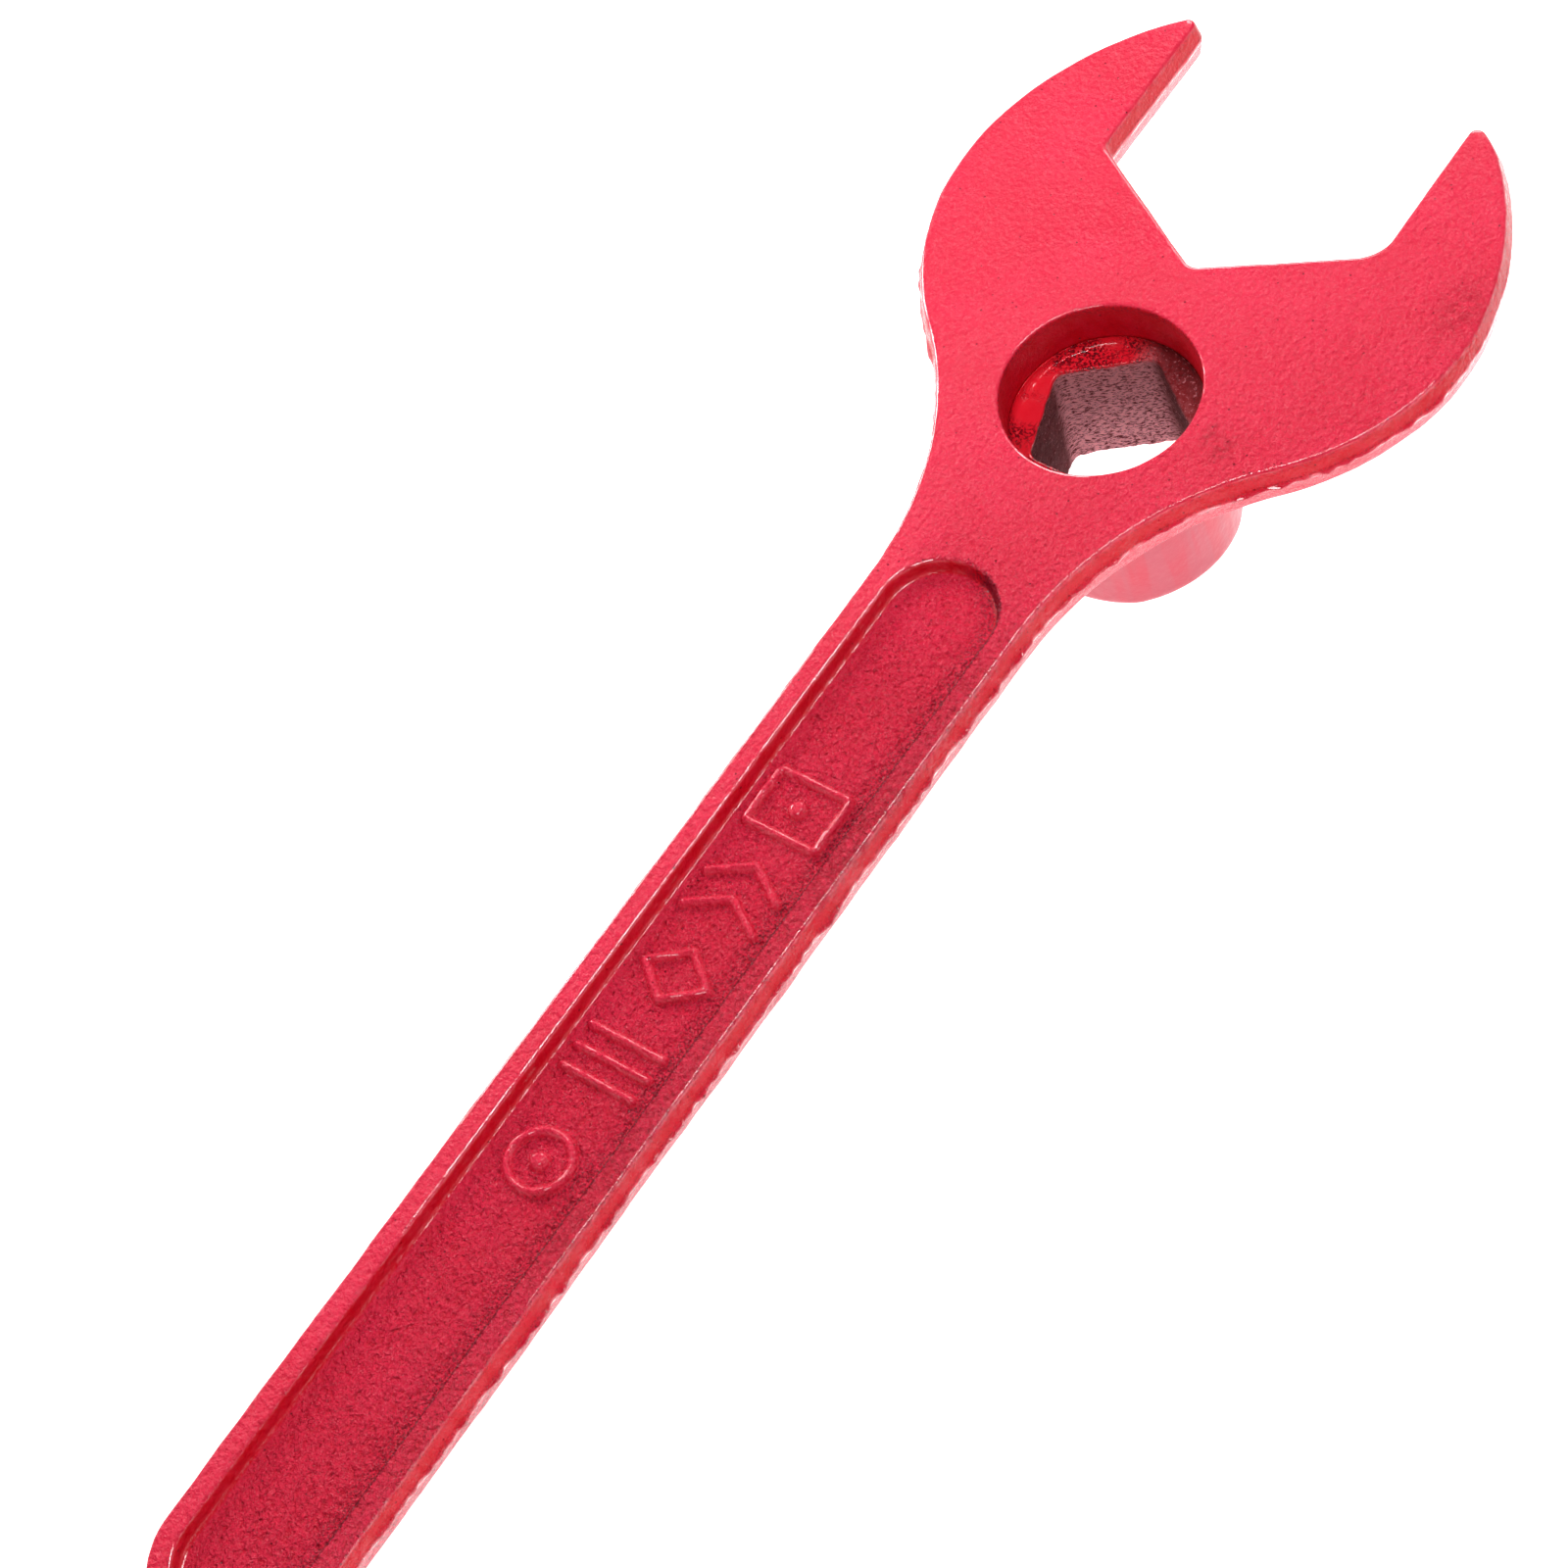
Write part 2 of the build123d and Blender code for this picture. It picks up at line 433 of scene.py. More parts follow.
def body_skin():
    """The plate with its eye and its two pockets."""
    skin = Skin()
    section = side_section()
    rough = smooth(section[:, 0], -0.0002, 0.0003)
    sides = skin.sweep(*wrench_outline(), section, rough)
    eye = skin.sweep(*circle_outline(EYE_R), eye_section())
    front = skin.sweep(*pocket_outline(), pocket_section(FRONT_POCKET_DEPTH))
    back_section = pocket_section(BACK_POCKET_DEPTH) * (1, -1) - (0, PLATE_T)
    back = skin.sweep(*pocket_outline(), back_section)
    skin.fill([sides[0], eye[0], front[0]], 0, FACE_STEP)
    skin.fill([sides[-1], eye[-1], back[0]], -PLATE_T, FACE_STEP)
    skin.fill([front[-1]], -FRONT_POCKET_DEPTH, FLOOR_STEP)
    skin.fill([back[-1]], -PLATE_T + BACK_POCKET_DEPTH, FACE_STEP)
    return skin


def casting_relief(points, rough):
    """How far the cast surface stands off its true shape."""
    ridge = 1 - smooth(np.abs(points[:, 2] + PLATE_T / 2), 0, FLASH_HALF)
    ragged = layered_noise(points, FLASH_RAGS, FLASH_MEAN)
    flash = ridge * FLASH_PROUD * np.clip(ragged, 0, FLASH_MOST)
    lumps = layered_noise(points, EDGE_LUMPS)
    fettled = np.maximum(in_jaw(points), smooth(points[:, 0], 0.030, 0.055))
    left = 1 - (1 - LEFT_BY_FETTLING) * fettled
    return layered_noise(points, CAST_WAVES) + left * rough * (lumps + flash)


def in_jaw(points):
    """1 on the jaw's working sides, which are fettled clean, and 0 elsewhere."""
    x, y = points[:, 0], points[:, 1]
    beyond_vertex = smooth(x, JAW_VERTEX_X - 0.004, JAW_VERTEX_X)
    return beyond_vertex * smooth(-np.abs(y), -JAW_HALF - 0.001, -JAW_HALF)


def crown(points):
    """Lowers the front face a little towards its long edges, as the casting's does."""
    x, y, z = points.T
    head = smooth(x, NECK_X, 0)
    half = HANDLE_HALF + head * (HEAD_HALF - HANDLE_HALF)
    fall = HANDLE_CROWN + head * (HEAD_CROWN - HANDLE_CROWN)
    above = np.maximum(z + PLATE_T / 2, 0) / (PLATE_T / 2)
    points[:, 2] -= fall * above * np.minimum(np.abs(y) / half, 1.1) ** 2


def pocket_reach(points):
    """Distance from the pockets' centre line."""
    x, y = points[:, 0], points[:, 1]
    straight = np.clip(x, POCKET_END_X + POCKET_R, POCKET_HEAD_X - POCKET_R)
    return np.hypot(x - straight, y)


def dirt_and_shadow_line(points):
    """Dirt along the front pocket's -Y side, round the marks, and at the eye's rim, and a painted
    shadow line along that side's rim.
    """
    x, y, z = points.T
    in_front = z > -FRONT_POCKET_DEPTH - 0.0006
    in_pocket = smooth(-z, 0.0004, 0.0022) * in_front
    reach = pocket_reach(points)
    lower_side = smooth(-y, -0.004, 0.006) * (reach < POCKET_R + 0.0012)
    # A painted shadow line along the pocket's -Y rim.
    line = 1.3 * lower_side * (1 - smooth(np.abs(reach - POCKET_R + 0.0003), 0.0005, 0.0012))
    rim = 0.8 * smooth(reach, POCKET_R - 0.0070, POCKET_R - 0.0010) * lower_side
    about_marks = 0.6 * np.exp(-(mark_distance(x, y) / 0.0022) ** 2)
    eye_rim = 0.6 * smooth(z, -0.0030, -0.0006) * (np.hypot(x, y) < EYE_R + 0.0002)
    return np.maximum(np.clip(in_pocket * (rim + about_marks), 0, 1), in_front * line) + eye_rim


def deep_red_shade(points, rough):
    """1 on the walls of the eye and pockets and on the front half of the outer edge, 0.1 on the
    pocket floors: painted shade, in deep red.
    """
    x, y, z = points.T
    eye = (np.hypot(x, y) < EYE_R + 0.0003) * smooth(-z, 0.0001, 0.0005)
    reach = pocket_reach(points)
    foot = POCKET_R - WALL_INSET
    wall = smooth(reach, foot - 0.0009, foot - 0.0003)
    wall *= (reach < POCKET_R + 0.0004) * smooth(-z, 0.0001, 0.0005)
    side = front_side(points, rough)
    floor = 0.1 * (reach < POCKET_R - 0.0010) * smooth(-z, 0.0020, 0.0026)
    return np.clip(np.maximum(eye + wall + side, floor), 0, 1)


def front_side(points, rough):
    """1 on the front half of the outer edge."""
    return rough * smooth(points[:, 2], -PLATE_T / 2, -PLATE_T / 2 + 0.0008)


def glossy_edges(points, deep):
    """1 where the enamel has drawn smooth: rims and walls, but not the pocket's -Y side, with its
    dirt and painted shadow line.
    """
    x, y, z = points.T
    reach = pocket_reach(points)
    radius = np.hypot(x, y)
    pocket_rim = 1 - smooth(np.abs(reach - POCKET_R), 0.0003, 0.0010)
    pocket_foot = 1 - smooth(np.abs(reach - POCKET_R + WALL_INSET), 0.0003, 0.0009)
    pocket_foot *= z < -0.0012
    eye_rim = 1 - smooth(np.abs(radius - EYE_R), 0.0002, 0.0009)
    eye_rim *= smooth(y - 0.6 * x, -0.012, 0.004)
    on_side = (reach > POCKET_R + 0.002) * (radius > EYE_R)
    outer = on_side * smooth(-z, 0.00003, 0.00015) * (1 - smooth(-z, 0.0006, 0.0014))
    parting = on_side * (1 - smooth(np.abs(z + PLATE_T / 2), 0.0003, 0.0009))
    clean = 1 - smooth(-y, 0.0, 0.004) * (reach < POCKET_R + 0.0010)
    edges = np.clip(pocket_rim + pocket_foot + eye_rim + 0.8 * outer + parting, 0, 1)
    broken = smooth(layered_noise(points, BROKEN_SHINE), -0.35, 0.05)
    return np.maximum(0.3 * deep, edges * clean * broken)


def coarseness(points):
    """The grain of the cast face: fine on the jaw, coarser along the handle."""
    x, y = points[:, 0], points[:, 1]
    across_head = smooth(-0.5 * x - 0.6 * y, -0.035, 0.035)
    coarse = 0.22 + 0.35 * across_head + 0.33 * smooth(-x, 0.030, 0.080)
    upper_strip = smooth(y, 0.0080, 0.0145) * smooth(-x, 0.030, 0.060)
    return coarse * (1 - 0.5 * upper_strip)


# Depths of two dark lines painted along the front half of the outer edge, as painted shade
SHADE_LINE_DEPTHS = (0.0010, 0.0041)

# Scuffs and dirty patches on the front: centre, half-lengths along X and Y, and strength
SMUDGES = (
    ((0.0490, -0.0555), (0.0080, 0.0050), 0.7),
    ((0.0005, -0.0262), (0.0030, 0.0012), 0.9),
    ((-0.0018, -0.0305), (0.0036, 0.0022), 0.9),
    ((-0.1100, -0.0160), (0.0160, 0.0050), 0.9),
    ((-0.1900, -0.0155), (0.0300, 0.0030), 0.5),
    ((-0.0760, -0.0160), (0.0140, 0.0030), 0.4),
)


def smudges(points):
    """Dirt rubbed into the front face in patches."""
    x, y, z = points.T
    total = np.zeros(len(points))
    for (at_x, at_y), (half_x, half_y), strength in SMUDGES:
        total += strength * np.exp(-((x - at_x) / half_x) ** 2 - ((y - at_y) / half_y) ** 2)
    return np.clip(total, 0, 1) * smooth(z, -0.0040, -0.0010)


# ---------------------------------------------------------------- the raised marks

def bar_distance(x, y, a, b):
    """Distance from a straight stroke's centre line."""
    ax, ay = a
    dx, dy = b[0] - ax, b[1] - ay
    t = np.clip(((x - ax) * dx + (y - ay) * dy) / (dx * dx + dy * dy), 0, 1)
    return np.hypot(x - ax - t * dx, y - ay - t * dy)


def path_distance(x, y, corners):
    """Distance from a stroke that runs through several corners."""
    return np.min([bar_distance(x, y, a, b) for a, b in zip(corners, corners[1:])], axis=0)


def ring_figure(x, y):
    """Distance from a ring with a dot in it."""
    ring = np.abs(np.hypot(x, y) - MARK_HALF_LENGTH + MARK_HALF_STROKE)
    return np.minimum(ring, np.hypot(x, y) - MARK_HALF_STROKE)


def bars_figure(x, y):
    """Distance from three parallel bars."""
    half = MARK_HALF_WIDTH - MARK_HALF_STROKE
    steps = (-BAR_PITCH, 0, BAR_PITCH)
    return np.min([bar_distance(x, y, (at, -half), (at, half)) for at in steps], axis=0)


def lozenge_figure(x, y):
    """Distance from the sides of a lozenge."""
    along = MARK_HALF_LENGTH * LOZENGE_SPINE
    across = MARK_HALF_WIDTH * LOZENGE_SPINE
    corners = [(-along, 0), (0, -across), (along, 0), (0, across), (-along, 0)]
    return path_distance(x, y, corners)


def chevrons_figure(x, y):
    """Distance from two chevrons, one behind the other."""
    half = MARK_HALF_WIDTH - MARK_HALF_STROKE
    paths = [
        path_distance(x, y, [(at, -half), (at + CHEVRON_DEPTH, 0), (at, half)])
        for at in CHEVRON_XS
    ]
    return np.minimum(*paths)


def frame_figure(x, y):
    """Distance from a rounded box with a dot in it."""
    side_x = np.abs(x) - MARK_HALF_LENGTH + 2 * MARK_HALF_STROKE
    side_y = np.abs(y) - MARK_HALF_WIDTH + 2 * MARK_HALF_STROKE
    outside = np.hypot(np.maximum(side_x, 0), np.maximum(side_y, 0))
    border = np.abs(outside + np.minimum(np.maximum(side_x, side_y), 0) - MARK_HALF_STROKE)
    return np.minimum(border, np.hypot(x, y) - MARK_HALF_STROKE)


FIGURES = (ring_figure, bars_figure, lozenge_figure, chevrons_figure, frame_figure)


def mark_distance(x, y):
    """Distance from the centre line of the nearest stroke of any mark."""
    return np.min([figure(x - at, y) for figure, at in zip(FIGURES, MARK_XS)], axis=0)


def marks_skin():
    """Each mark as a rounded ridge whose foot runs into the pocket's floor."""
    skin = Skin()
    half_x = MARK_HALF_LENGTH + MARK_MARGIN
    half_y = MARK_HALF_WIDTH + MARK_MARGIN
    xs = np.arange(-half_x, half_x, MARK_STEP)
    ys = np.arange(-half_y, half_y, MARK_STEP)
    x, y = [grid.ravel() for grid in np.meshgrid(xs, ys)]
    for figure, at in zip(FIGURES, MARK_XS):
        places = np.column_stack([x + at, y, np.zeros(len(x))])
        away = np.maximum(figure(x, y) + layered_noise(places, MARK_WANDER), 0)
        crest = MARK_HEIGHT * layered_noise(places, CREST_WAVES, MARK_CREST)
        height = crest * np.exp(-(away / MARK_SLOPE) ** MARK_SLOPE_POWER) - MARK_FOOT_DROP
        top = np.column_stack([x + at, y, height - FRONT_POCKET_DEPTH])
        add_slab(skin, top, len(xs), height > -MARK_FOOT_CUT)
    return skin


def add_slab(skin, top, columns, keep):
    """Adds the kept cells of a grid as a closed slab with a flat underside."""
    below = top.copy()
    below[:, 2] = -FRONT_POCKET_DEPTH - MARK_SINK
    cells = []
    for i in range(len(top) - columns - 1):
        cell = (i, i + 1, i + 1 + columns, i + columns)
        if (i + 1) % columns and keep[list(cell)].any():
            cells.append(cell)
    used = sorted({i for cell in cells for i in cell})
    tops = dict(zip(used, skin.ring(top[used])))
    lows = dict(zip(used, skin.ring(below[used])))
    sides = {}
    for cell in cells:
        skin.faces.append(tuple(tops[i] for i in cell))
        skin.faces.append(tuple(lows[i] for i in reversed(cell)))
        for edge in zip(cell, cell[1:] + cell[:1]):
            if edge[::-1] in sides:
                del sides[edge[::-1]]
            else:
                sides[edge] = True
    for a, b in sides:
        skin.faces.append((tops[b], tops[a], lows[a], lows[b]))


# ---------------------------------------------------------------- the sleeve and its bead

def pentagon_radius(angles, apothem):
    """The pentagon's radius at each angle: straight sides and round corners."""
    half_side = pi / 5
    corner = (apothem - PENTAGON_CORNER_R) / cos(half_side)
    turn = (angles + half_side) % (2 * half_side) - half_side
    side = apothem / np.cos(np.abs(turn) - half_side)
    under = np.maximum(PENTAGON_CORNER_R ** 2 - (corner * np.sin(turn)) ** 2, 0)
    rounded = corner * np.cos(turn) + np.sqrt(under)
    touch_x = corner + PENTAGON_CORNER_R * cos(half_side)
    touch = atan2(PENTAGON_CORNER_R * sin(half_side), touch_x)
    return np.where(np.abs(turn) < touch, rounded, side)


def sleeve_skin():
    """The sleeve as one ring-shaped shell, each vertex weighted 1 in the pentagon bore."""
    corners = [
        (SEAT_R, -PLATE_T, 0),
        (SLEEVE_R, -PLATE_T, 0),
        (SLEEVE_R, SLEEVE_END_Z, 0),
        (PENTAGON_MOUTH_APOTHEM, SLEEVE_END_Z, 1),
        (PENTAGON_APOTHEM, LEDGE_Z, 1),
        (SEAT_R, LEDGE_Z, 0),
        (SEAT_R, -PLATE_T + 0.0001, 0),
    ]
    cuts = (0.0002, 0.0022, 0.0030, 0.0006, 0.0018)
    section = divide(soften(corners, cuts, 6), SLEEVE_STEP)
    angles = np.linspace(0, 2 * pi, SLEEVE_COUNT, endpoint=False)
    out = np.column_stack([np.cos(angles), np.sin(angles)])
    skin = Skin()
    rings = []
    for reach, z, five in section:
        radius = (1 - five) * reach + five * pentagon_radius(angles, reach)
        points = np.column_stack([out * radius[:, None], np.full(SLEEVE_COUNT, z)])
        rings.append(skin.ring(points, float(five)))
    for ring, other in zip(rings, rings[1:] + rings[:1]):
        skin.band(ring, other)
    return skin


def spray_and_light_on_bore(points):
    """How pale the bore's walls are painted: a thin overspray on every wall, a little more toward
    the mouth, and most on the wall that faces the camera, which is painted light.
    """
    angle = np.degrees(np.arctan2(points[:, 1], points[:, 0]))
    off = np.abs((angle - SPRAY_AND_LIGHT_ANGLE + 180) % 360 - 180)
    lower = 0.8 + 0.2 * smooth(-points[:, 2], 0.015, 0.036)
    # Most on the wall at this angle, which faces the camera: painted light.
    facing = 1 - smooth(off, SPRAY_AND_LIGHT_HALF_ANGLE - 8, SPRAY_AND_LIGHT_HALF_ANGLE + 4)
    return LEAST_SPRAY + (1 - LEAST_SPRAY) * lower * facing


def bead_skin():
    """The bead between the sleeve and the plate's back."""
    top = -PLATE_T + BEAD_LAP
    bulge = (WELD_LEG * BEAD_BULGE, -PLATE_T - WELD_LEG * BEAD_BULGE)
    corners = [(-BEAD_SINK, top), (WELD_LEG, top), bulge, (-BEAD_SINK, -PLATE_T - WELD_LEG)]
    section = divide(soften(corners, (0.0008, 0.0016)), FINE_STEP)
    skin = Skin()
    rings = skin.sweep(*circle_outline(SLEEVE_R), section)
    skin.band(rings[-1], rings[0])
    return skin


# ---------------------------------------------------------------- materials

class Shader:
    """Short calls to lay out one material's nodes."""

    def __init__(self, name):
        self.material = bpy.data.materials.new(name)
        self.material.use_nodes = True
        self.tree = self.material.node_tree
        self.surface = self.tree.nodes["Principled BSDF"]
        self.place = self.add("ShaderNodeTexCoord").outputs["Object"]

    def add(self, kind, **settings):
        """Adds a node with these settings."""
        node = self.tree.nodes.new(kind)
        for key, value in settings.items():
            setattr(node, key, value)
        return node

    def feed(self, socket, value):
        """Links another node's output to the socket, or sets it to a number or colour."""
        if isinstance(value, bpy.types.NodeSocket):
            self.tree.links.new(value, socket)
        else:
            socket.default_value = value

    def put(self, node, **values):
        """Feeds a node's inputs by name, with _ for a space."""
        for key, value in values.items():
            self.feed(node.inputs[key.replace("_", " ")], value)
        return node

    def noise(self, per_metre, detail=2.0, roughness=0.5, stretch=None):
        """Noise with so many features per metre."""
        node = self.add("ShaderNodeTexNoise")
        place = self.stretched(stretch)
        self.put(node, Vector=place, Scale=per_metre, Detail=detail, Roughness=roughness)
        return node.outputs["Fac"]

    def stretched(self, stretch):
        """The place in the piece, scaled along its axes."""
        if stretch is None:
            return self.place
        node = self.put(self.add("ShaderNodeMapping"), Vector=self.place, Scale=stretch)
        return node.outputs["Vector"]

    def cells(self, per_metre):
        """Distance from the nearest of the scattered points."""
        node = self.put(self.add("ShaderNodeTexVoronoi"), Vector=self.place, Scale=per_metre)
        return node.outputs["Distance"]

    def mask(self, name):
        """One of the numbers that paint() stored on the mesh."""
        return self.add("ShaderNodeAttribute", attribute_name=name).outputs["Fac"]

    def remap(self, value, low, high, to_low=0.0, to_high=1.0):
        """Takes low to to_low and high to to_high, with a smooth change between."""
        node = self.add("ShaderNodeMapRange", interpolation_type="SMOOTHSTEP")
        self.put(node, Value=value, From_Min=low, From_Max=high, To_Min=to_low, To_Max=to_high)
        return node.outputs["Result"]

    def math(self, operation, a, b):
        """Combines two values, each a number or another node's output."""
        node = self.add("ShaderNodeMath", operation=operation)
        for socket, value in zip(node.inputs, (a, b)):
            self.feed(socket, value)
        return node.outputs["Value"]

    def mix(self, factor, a, b):
        """Blends two colours."""
        node = self.add("ShaderNodeMix", data_type="RGBA")
        self.tree.links.new(factor, node.inputs[0])
        for socket, value in zip((node.inputs[6], node.inputs[7]), (a, b)):
            self.feed(socket, (*value, 1) if isinstance(value, tuple) else value)
        return node.outputs[2]

    def bump(self, height, distance, strength=1.0, under=None):
        """Tilts the normal by a height over a distance, on top of another bump."""
        node = self.add("ShaderNodeBump")
        self.put(node, Height=height, Distance=distance, Strength=strength)
        if under is not None:
            self.put(node, Normal=under)
        return node.outputs["Normal"]


# Colours, linear
ENAMEL = (0.69, 0.015, 0.050)
ENAMEL_THIN = (0.73, 0.017, 0.060)
ENAMEL_SHADE_RED = (0.54, 0.001, 0.010)
ENAMEL_LEDGE = (0.76, 0.010, 0.026)
ENAMEL_SHADE_DARK = (0.30, 0.001, 0.006)
ENAMEL_DRAWN = (0.56, 0.040, 0.070)
ENAMEL_PALE_SHEEN = (0.50, 0.085, 0.120)
SMUDGE = (0.400, 0.003, 0.018)
GRIME_AND_SHADE = (0.130, 0.002, 0.010)
IRON_AND_SHADE = (0.120, 0.008, 0.010)
OVERSPRAY_AND_LIGHT = (0.980, 0.400, 0.450)

# Features per metre in the paint's patterns
PATCHES = 38
PEEL = 720
GRAIN = 1300
PITS = 420
PIT_GROUPS = 160
STREAKS = 260
SPECKLE = 1900
RUBBING = 700
SLEEVE_PEEL = 480
BRUSHED = 300
CRUST = 900
GRIT = 1600
GRIT_GROUPS = 70
FLECKS = 1500

# Bump distances, and the grain where a piece has no masks
PEEL_BUMP = 0.0034
GRAIN_BUMP = 0.00055
PIT_BUMP = -0.0005
SLEEVE_BUMP = 0.0004
CRUST_BUMP = 0.0014
PLAIN_COARSE = 0.7


def enamel(name, masked=True):
    """Thick glossy red enamel on a sand casting, with pits and painted shade in the hollows of
    its grain; where masked, also settled dirt, painted shade on walls and edges, and a painted
    shadow line.
    """
    s = Shader(name)
    patches = s.noise(PATCHES, 3)
    peel = s.noise(PEEL, 3, 0.6)
    grain = s.noise(GRAIN, 3, 0.6)
    coarse = s.mask("coarse") if masked else PLAIN_COARSE
    colour = s.mix(s.remap(patches, 0.35, 0.7), ENAMEL, ENAMEL_THIN)
    # The peel's low spots are darkened toward deep red: painted shade in the hollows of its bump.
    low = s.math("MULTIPLY", s.remap(peel, 0.50, 0.30), coarse)
    colour = s.mix(s.math("MULTIPLY", low, 0.55), colour, ENAMEL_SHADE_RED)
    speckled = s.remap(coarse, 0.2, 0.8) if masked else PLAIN_COARSE
    # Dark specks at the grain's low spots: painted shade in the hollows of its bump.
    specks = s.math("MULTIPLY", s.remap(grain, 0.42, 0.33), speckled)
    colour = s.mix(s.math("MULTIPLY", specks, 0.55), colour, ENAMEL_SHADE_DARK)
    pits = s.remap(s.cells(PITS), 0.105, 0.045)
    pits = s.math("MULTIPLY", pits, s.remap(s.noise(PIT_GROUPS), 0.44, 0.56))
    dirt_and_shade = s.math("MULTIPLY", pits, 0.8)
    rough = s.remap(grain, 0.3, 0.7, 0.18, 0.32)
    if masked:
        deep, gloss, matt, grime_and_shade = [s.mask(name) for name in ("deep", "gloss", "matt", "grime_and_shade")]
        streaks = s.remap(s.noise(STREAKS, 3, 0.6), 0.40, 0.62, 0.8, 1.0)
        # The walls, the front half of the outer edge and the pocket floors take the deep red:
        # painted shade.
        colour = s.mix(s.math("MULTIPLY", deep, streaks), colour, ENAMEL_SHADE_RED)
        rough = s.math("MULTIPLY", rough, s.remap(gloss, 0, 1, 1, 0.35))
        rough = s.math("ADD", rough, s.math("MULTIPLY", matt, 0.35))
        speckle = s.remap(s.noise(SPECKLE, 3, 0.65), 0.44, 0.60)
        # Where the mask is strongest, along the pocket's -Y rim, it is solid dark: a painted
        # shadow line.
        shade_line = s.math("MULTIPLY", s.remap(grime_and_shade, 0.8, 1.3), 0.8)
        dirt_and_shade = s.math("MAXIMUM", dirt_and_shade, s.math("MULTIPLY", grime_and_shade, speckle))
        dirt_and_shade = s.math("MAXIMUM", dirt_and_shade, shade_line)
        patchy = s.remap(s.noise(RUBBING, 4, 0.7), 0.35, 0.60)
        colour = s.mix(s.math("MULTIPLY", s.mask("smudge"), patchy), colour, SMUDGE)
    colour = s.mix(dirt_and_shade, colour, GRIME_AND_SHADE)
    normal = s.bump(peel, PEEL_BUMP, coarse)
    grainy = s.math("ADD", s.math("MULTIPLY", coarse, 0.8), 0.2)
    normal = s.bump(grain, GRAIN_BUMP, grainy, normal)
    normal = s.bump(pits, PIT_BUMP, 1.0, normal)
    s.put(s.surface, Base_Color=colour, Roughness=rough, Normal=normal)
    coat = 0.4
    if masked:
        dull = s.math("ADD", s.math("MULTIPLY", deep, 0.8), s.math("ADD", grime_and_shade, matt))
        coat = s.remap(s.math("SUBTRACT", gloss, dull), -0.75, 1, 0.0, 1.0)
    s.put(s.surface, Coat_Weight=coat, Coat_Roughness=0.04, Coat_IOR=1.8, Specular_IOR_Level=0.18)
    return s.material


def sleeve_paint():
    """The sleeve: pale pink enamel outside, its paleness a painted sheen; deep red on the ledge,
    with painted shade on its right side; and rough iron in the bore, palest on the wall that
    faces the camera as painted light.
    """
    s = Shader("sleeve_enamel")
    patches = s.noise(PATCHES, 3)
    peel = s.noise(SLEEVE_PEEL, 2.5, 0.55)
    brushed = s.noise(BRUSHED, 2, 0.5, (1, 1, 0.08))
    crust = s.noise(CRUST, 4, 0.7, (1, 1, 2.4))
    deep = s.mask("deep")
    bare_and_shade = s.mask("bare_and_shade")
    # The outside is painted pale pink, palest in streaks: a painted sheen of the bright floor
    # below.
    colour = s.mix(s.remap(patches, 0.35, 0.7), ENAMEL_DRAWN, ENAMEL_PALE_SHEEN)
    colour = s.mix(s.remap(brushed, 0.62, 0.38), colour, ENAMEL_PALE_SHEEN)
    colour = s.mix(deep, colour, ENAMEL_LEDGE)
    grit = s.math("MULTIPLY", deep, s.remap(s.noise(GRIT, 3, 0.6), 0.48, 0.62))
    grit = s.math("MULTIPLY", grit, s.remap(s.noise(GRIT_GROUPS), 0.36, 0.55))
    colour = s.mix(grit, colour, GRIME_AND_SHADE)
    speckled = s.remap(crust, 0.40, 0.54)
    flecks = s.math("MULTIPLY", s.remap(s.noise(FLECKS, 2, 0.6), 0.58, 0.68), 0.5)
    flecks = s.math("MAXIMUM", flecks, s.math("MULTIPLY", speckled, s.mask("spray_and_light")))
    iron = s.mix(flecks, IRON_AND_SHADE, OVERSPRAY_AND_LIGHT)
    colour = s.mix(bare_and_shade, colour, iron)
    rough = s.remap(peel, 0.3, 0.7, 0.28, 0.40)
    rough = s.math("SUBTRACT", rough, s.math("MULTIPLY", deep, 0.18))
    rough = s.math("ADD", rough, s.math("MULTIPLY", bare_and_shade, 0.55))
    normal = s.bump(peel, SLEEVE_BUMP, 0.5)
    gritty = s.math("MULTIPLY", s.math("MAXIMUM", bare_and_shade, grit), crust)
    normal = s.bump(gritty, CRUST_BUMP, 0.9, normal)
    s.put(s.surface, Base_Color=colour, Roughness=rough, Normal=normal)
    coat = s.remap(bare_and_shade, 0, 0.5, 0.4, 0)
    s.put(s.surface, Coat_Weight=coat, Coat_Roughness=0.06, Specular_IOR_Level=0.2)
    return s.material


def floor_paint():
    """A matt pale sweep with a faint mottling."""
    s = Shader("pale_floor")
    colour = s.mix(s.noise(9, 2), (0.86, 0.86, 0.86), (0.89, 0.89, 0.89))
    s.put(s.surface, Base_Color=colour, Roughness=0.9, Specular_IOR_Level=0.1)
    s.put(s.surface, Emission_Color=(1, 1, 1, 1), Emission_Strength=1.04)
    return s.material


# ---------------------------------------------------------------- pieces

